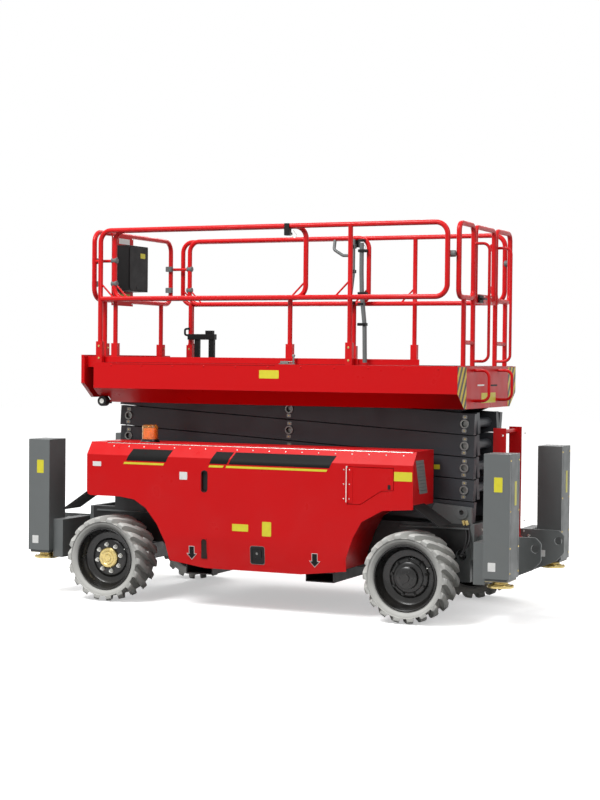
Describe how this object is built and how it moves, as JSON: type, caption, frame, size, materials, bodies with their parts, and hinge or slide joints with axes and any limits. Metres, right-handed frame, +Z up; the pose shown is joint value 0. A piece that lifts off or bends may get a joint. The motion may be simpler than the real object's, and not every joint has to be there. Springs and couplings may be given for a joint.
{
  "type": "rough-terrain scissor lift",
  "caption": "Self-propelled rough-terrain scissor lift with folded stacked arms, railed platform with roll-out deck, side pods, outriggers and four lugged wheels.",
  "frame": {"origin": "on the ground, midway between the axles, on the centre line", "axes": "+X towards the rear, where the ladder and gate are; +Y to the machine's right; +Z up"},
  "size_m": [4.15, 1.7803, 2.891],
  "materials": {
    "red_paint": "gloss",
    "grey_paint": "satin",
    "black_paint": "gloss",
    "tyre_rubber": "matte non-marking",
    "black_rubber": "matte",
    "black_plastic": "matte",
    "amber_plastic": "clear gloss",
    "chrome": "polished",
    "zinc_plate": "yellow zinc"
  },
  "bodies": {
    "chassis": {"chassis_frame": "grey_paint", "forklift_pockets": "grey_paint", "front_end_frame": "grey_paint", "rear_end_frame": "grey_paint", "outrigger_housing_front_left": "grey_paint", "outrigger_housing_front_right": "grey_paint", "outrigger_housing_rear_left": "grey_paint", "outrigger_housing_rear_right": "grey_paint", "front_axle": "black_paint", "rear_axle": "black_paint", "side_pod_left": "red_paint", "side_pod_right": "red_paint", "engine_block": "black_paint", "oil_tank": "black_paint", "mud_flaps": "black_rubber", "warning_beacon": "amber_plastic", "ladder": "red_paint"},
    "side_cover_left": {"side_cover_left": "red_paint"},
    "side_cover_right": {"side_cover_right": "red_paint"},
    "access_door": {"access_door": "red_paint"},
    "steering_knuckle_left": {"steering_knuckle_left": "black_paint"},
    "steering_knuckle_right": {"steering_knuckle_right": "black_paint"},
    "wheel_front_left": {"rim_front_left": "black_paint", "tyre_front_left": "tyre_rubber"},
    "outrigger_leg_front_left": {"outrigger_leg_front_left": "zinc_plate"},
    "wheel_front_right": {"rim_front_right": "black_paint", "tyre_front_right": "tyre_rubber"},
    "outrigger_leg_front_right": {"outrigger_leg_front_right": "zinc_plate"},
    "wheel_rear_left": {"rim_rear_left": "black_paint", "tyre_rear_left": "tyre_rubber"},
    "outrigger_leg_rear_left": {"outrigger_leg_rear_left": "zinc_plate"},
    "wheel_rear_right": {"rim_rear_right": "black_paint", "tyre_rear_right": "tyre_rubber"},
    "outrigger_leg_rear_right": {"outrigger_leg_rear_right": "zinc_plate"},
    "outer_arm_1": {"outer_arm_1": "grey_paint"},
    "inner_arm_1": {"inner_arm_1": "grey_paint"},
    "outer_arm_2": {"outer_arm_2": "grey_paint"},
    "inner_arm_2": {"inner_arm_2": "grey_paint"},
    "outer_arm_3": {"outer_arm_3": "grey_paint"},
    "inner_arm_3": {"inner_arm_3": "grey_paint"},
    "outer_arm_4": {"outer_arm_4": "grey_paint"},
    "inner_arm_4": {"inner_arm_4": "grey_paint"},
    "outer_arm_5": {"outer_arm_5": "grey_paint"},
    "inner_arm_5": {"inner_arm_5": "grey_paint"},
    "lift_cylinder_barrel": {"lift_cylinder_barrel": "black_paint"},
    "lift_cylinder_rod": {"lift_cylinder_rod": "chrome"},
    "platform": {"platform_frame": "red_paint", "landing_buffers": "black_rubber", "guardrail_left": "red_paint", "guardrail_right": "red_paint", "end_guardrails": "red_paint"},
    "entry_gate": {"entry_gate": "red_paint"},
    "extension": {"extension_deck": "red_paint", "extension_guardrail": "red_paint", "control_panel": "red_paint", "control_box": "black_plastic"}
  },
  "joints": [
    {"name": "lift", "type": "hinge", "parent": "chassis", "child": "outer_arm_1", "pos_m": [1.491, 0, 0.772], "axis": [0, 1, 0], "range_deg": [0, 47.4]},
    {"name": "inner_arm_1_pivot", "type": "hinge", "parent": "outer_arm_1", "child": "inner_arm_1", "pos_m": [0.0765, 0, 0.853], "axis": [0, 1, 0], "range_deg": [-94.8, 0]},
    {"name": "inner_arm_2_pivot", "type": "hinge", "parent": "outer_arm_1", "child": "inner_arm_2", "pos_m": [-1.338, 0, 0.934], "axis": [0, 1, 0], "range_deg": [-94.8, 0]},
    {"name": "outer_arm_2_pivot", "type": "hinge", "parent": "inner_arm_2", "child": "outer_arm_2", "pos_m": [0.0765, 0, 1.015], "axis": [0, 1, 0], "range_deg": [0, 94.8]},
    {"name": "outer_arm_3_pivot", "type": "hinge", "parent": "inner_arm_2", "child": "outer_arm_3", "pos_m": [1.491, 0, 1.096], "axis": [0, 1, 0], "range_deg": [0, 94.8]},
    {"name": "inner_arm_3_pivot", "type": "hinge", "parent": "outer_arm_3", "child": "inner_arm_3", "pos_m": [0.0765, 0, 1.177], "axis": [0, 1, 0], "range_deg": [-94.8, 0]},
    {"name": "inner_arm_4_pivot", "type": "hinge", "parent": "outer_arm_3", "child": "inner_arm_4", "pos_m": [-1.338, 0, 1.258], "axis": [0, 1, 0], "range_deg": [-94.8, 0]},
    {"name": "outer_arm_4_pivot", "type": "hinge", "parent": "inner_arm_4", "child": "outer_arm_4", "pos_m": [0.0765, 0, 1.339], "axis": [0, 1, 0], "range_deg": [0, 94.8]},
    {"name": "outer_arm_5_pivot", "type": "hinge", "parent": "inner_arm_4", "child": "outer_arm_5", "pos_m": [1.491, 0, 1.42], "axis": [0, 1, 0], "range_deg": [0, 94.8]},
    {"name": "inner_arm_5_pivot", "type": "hinge", "parent": "outer_arm_5", "child": "inner_arm_5", "pos_m": [0.0765, 0, 1.501], "axis": [0, 1, 0], "range_deg": [-94.8, 0]},
    {"name": "platform_pivot", "type": "hinge", "parent": "inner_arm_5", "child": "platform", "pos_m": [1.491, 0, 1.582], "axis": [0, 1, 0], "range_deg": [0, 47.4]},
    {"name": "cylinder_foot", "type": "hinge", "parent": "chassis", "child": "lift_cylinder_barrel", "pos_m": [0.6, 0, 0.4], "axis": [0, 1, 0], "range_deg": [0, 55.17]},
    {"name": "cylinder_rod", "type": "slide", "parent": "lift_cylinder_barrel", "child": "lift_cylinder_rod", "axis": [-0.9641, 0, 0.2656], "range_m": [0, 0.7093]},
    {"name": "steer_left", "type": "hinge", "parent": "chassis", "child": "steering_knuckle_left", "pos_m": [-1.238, -0.59, 0.33], "axis": [0, 0, 1], "range_deg": [-30, 30]},
    {"name": "steer_right", "type": "hinge", "parent": "chassis", "child": "steering_knuckle_right", "pos_m": [-1.238, 0.59, 0.33], "axis": [0, 0, 1], "range_deg": [-30, 30]},
    {"name": "wheel_front_left_spin", "type": "hinge", "parent": "steering_knuckle_left", "child": "wheel_front_left", "pos_m": [-1.238, -0.7375, 0.33], "axis": [0, 1, 0], "continuous": true},
    {"name": "wheel_rear_left_spin", "type": "hinge", "parent": "chassis", "child": "wheel_rear_left", "pos_m": [1.238, -0.7375, 0.33], "axis": [0, 1, 0], "continuous": true},
    {"name": "wheel_front_right_spin", "type": "hinge", "parent": "steering_knuckle_right", "child": "wheel_front_right", "pos_m": [-1.238, 0.7375, 0.33], "axis": [0, 1, 0], "continuous": true},
    {"name": "wheel_rear_right_spin", "type": "hinge", "parent": "chassis", "child": "wheel_rear_right", "pos_m": [1.238, 0.7375, 0.33], "axis": [0, 1, 0], "continuous": true},
    {"name": "outrigger_front_left", "type": "slide", "parent": "chassis", "child": "outrigger_leg_front_left", "axis": [0, 0, -1], "range_m": [0, 0.6]},
    {"name": "outrigger_front_right", "type": "slide", "parent": "chassis", "child": "outrigger_leg_front_right", "axis": [0, 0, -1], "range_m": [0, 0.6]},
    {"name": "outrigger_rear_left", "type": "slide", "parent": "chassis", "child": "outrigger_leg_rear_left", "axis": [0, 0, -1], "range_m": [0, 0.6]},
    {"name": "outrigger_rear_right", "type": "slide", "parent": "chassis", "child": "outrigger_leg_rear_right", "axis": [0, 0, -1], "range_m": [0, 0.6]},
    {"name": "cover_left", "type": "hinge", "parent": "chassis", "child": "side_cover_left", "pos_m": [0, -0.808, 1.231], "axis": [-1, 0, 0], "range_deg": [0, 75]},
    {"name": "cover_right", "type": "hinge", "parent": "chassis", "child": "side_cover_right", "pos_m": [0, 0.808, 1.231], "axis": [1, 0, 0], "range_deg": [0, 75]},
    {"name": "access_door_hinge", "type": "hinge", "parent": "side_cover_left", "child": "access_door", "pos_m": [0.794, -0.8853, 0.98], "axis": [0, 0, -1], "range_deg": [0, 110]},
    {"name": "gate_hinge", "type": "hinge", "parent": "platform", "child": "entry_gate", "pos_m": [1.5037, 0.213, 2.3], "axis": [0, 0, -1], "range_deg": [0, 90]},
    {"name": "extension_slide", "type": "slide", "parent": "platform", "child": "extension", "axis": [-1, 0, 0], "range_m": [0, 1.45]}
  ],
  "couplings": [
    {"joint": "inner_arm_1_pivot", "follows": "lift", "ratio": -2},
    {"joint": "inner_arm_2_pivot", "follows": "lift", "ratio": -2},
    {"joint": "outer_arm_2_pivot", "follows": "lift", "ratio": 2},
    {"joint": "outer_arm_3_pivot", "follows": "lift", "ratio": 2},
    {"joint": "inner_arm_3_pivot", "follows": "lift", "ratio": -2},
    {"joint": "inner_arm_4_pivot", "follows": "lift", "ratio": -2},
    {"joint": "outer_arm_4_pivot", "follows": "lift", "ratio": 2},
    {"joint": "outer_arm_5_pivot", "follows": "lift", "ratio": 2},
    {"joint": "inner_arm_5_pivot", "follows": "lift", "ratio": -2},
    {"joint": "platform_pivot", "follows": "lift", "ratio": 1},
    {"joint": "cylinder_foot", "follows": "lift", "ratio": 1.1637},
    {"joint": "cylinder_rod", "follows": "lift", "m_per_rad": 0.85672},
    {"joint": "steer_right", "follows": "steer_left", "ratio": 1}
  ]
}
